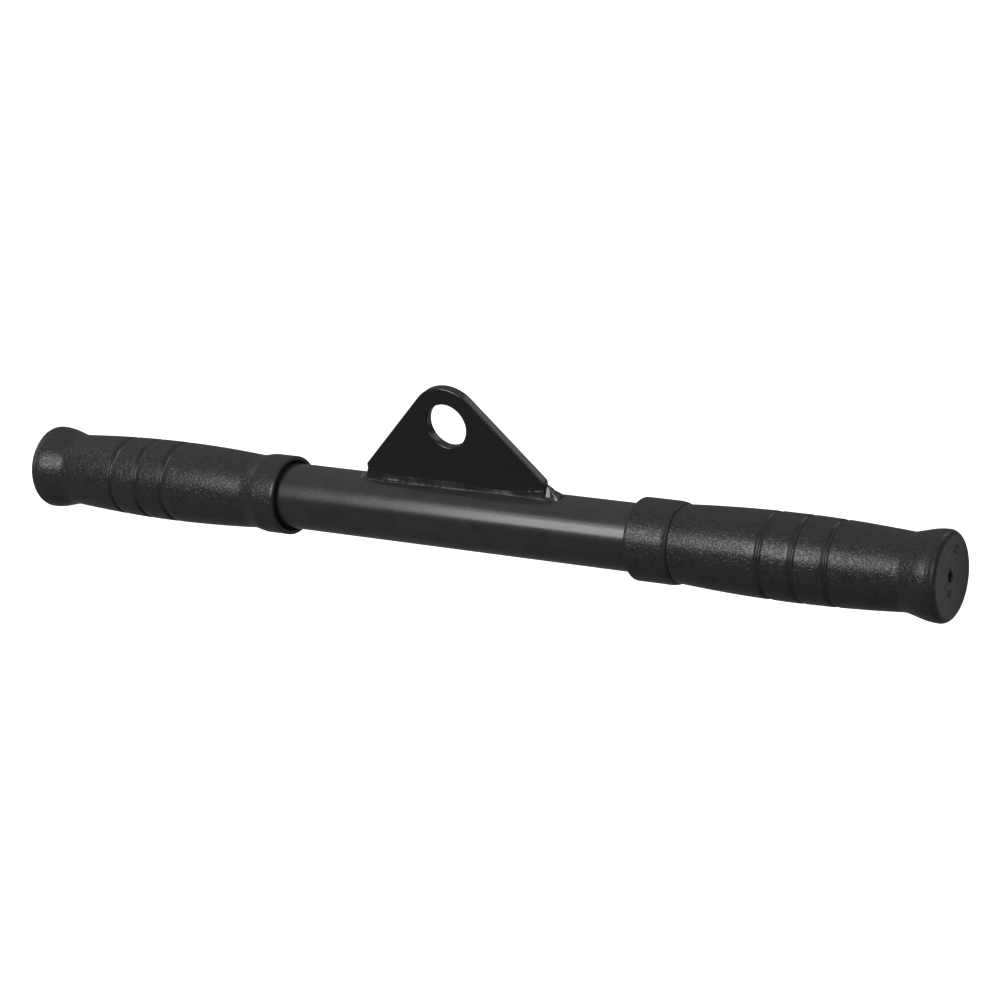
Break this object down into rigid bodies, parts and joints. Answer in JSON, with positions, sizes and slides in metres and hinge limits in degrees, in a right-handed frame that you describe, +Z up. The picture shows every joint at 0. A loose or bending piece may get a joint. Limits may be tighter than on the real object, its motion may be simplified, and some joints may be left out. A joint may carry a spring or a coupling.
{
  "type": "straight cable attachment bar",
  "caption": "Short straight pull bar: black steel tube with a welded triangular hanging lug at its middle and a grooved, flared rubber grip with a closed end on each side.",
  "frame": {"origin": "centre of the hole in the hanging lug, midway through the plate", "axes": "+X along the bar, +Y along the lug's hole, +Z up; the bar hangs below the hole, and the front is towards -Y"},
  "size_m": [0.502, 0.0414, 0.0874],
  "materials": {
    "tube_paint": "black paint, satin to gloss",
    "plate_paint": "black paint, satin to gloss",
    "weld_paint": "gloss black paint over a rippled weld",
    "grip_rubber": "moulded, fine leather grain, matte with smooth grooves"
  },
  "bodies": {
    "root": {"bar_tube": "tube_paint", "lug_plate": "plate_paint", "weld_front": "weld_paint", "weld_rear": "weld_paint", "weld_left_end": "weld_paint", "weld_right_end": "weld_paint", "grip_left": "grip_rubber", "grip_right": "grip_rubber"}
  },
  "joints": []
}
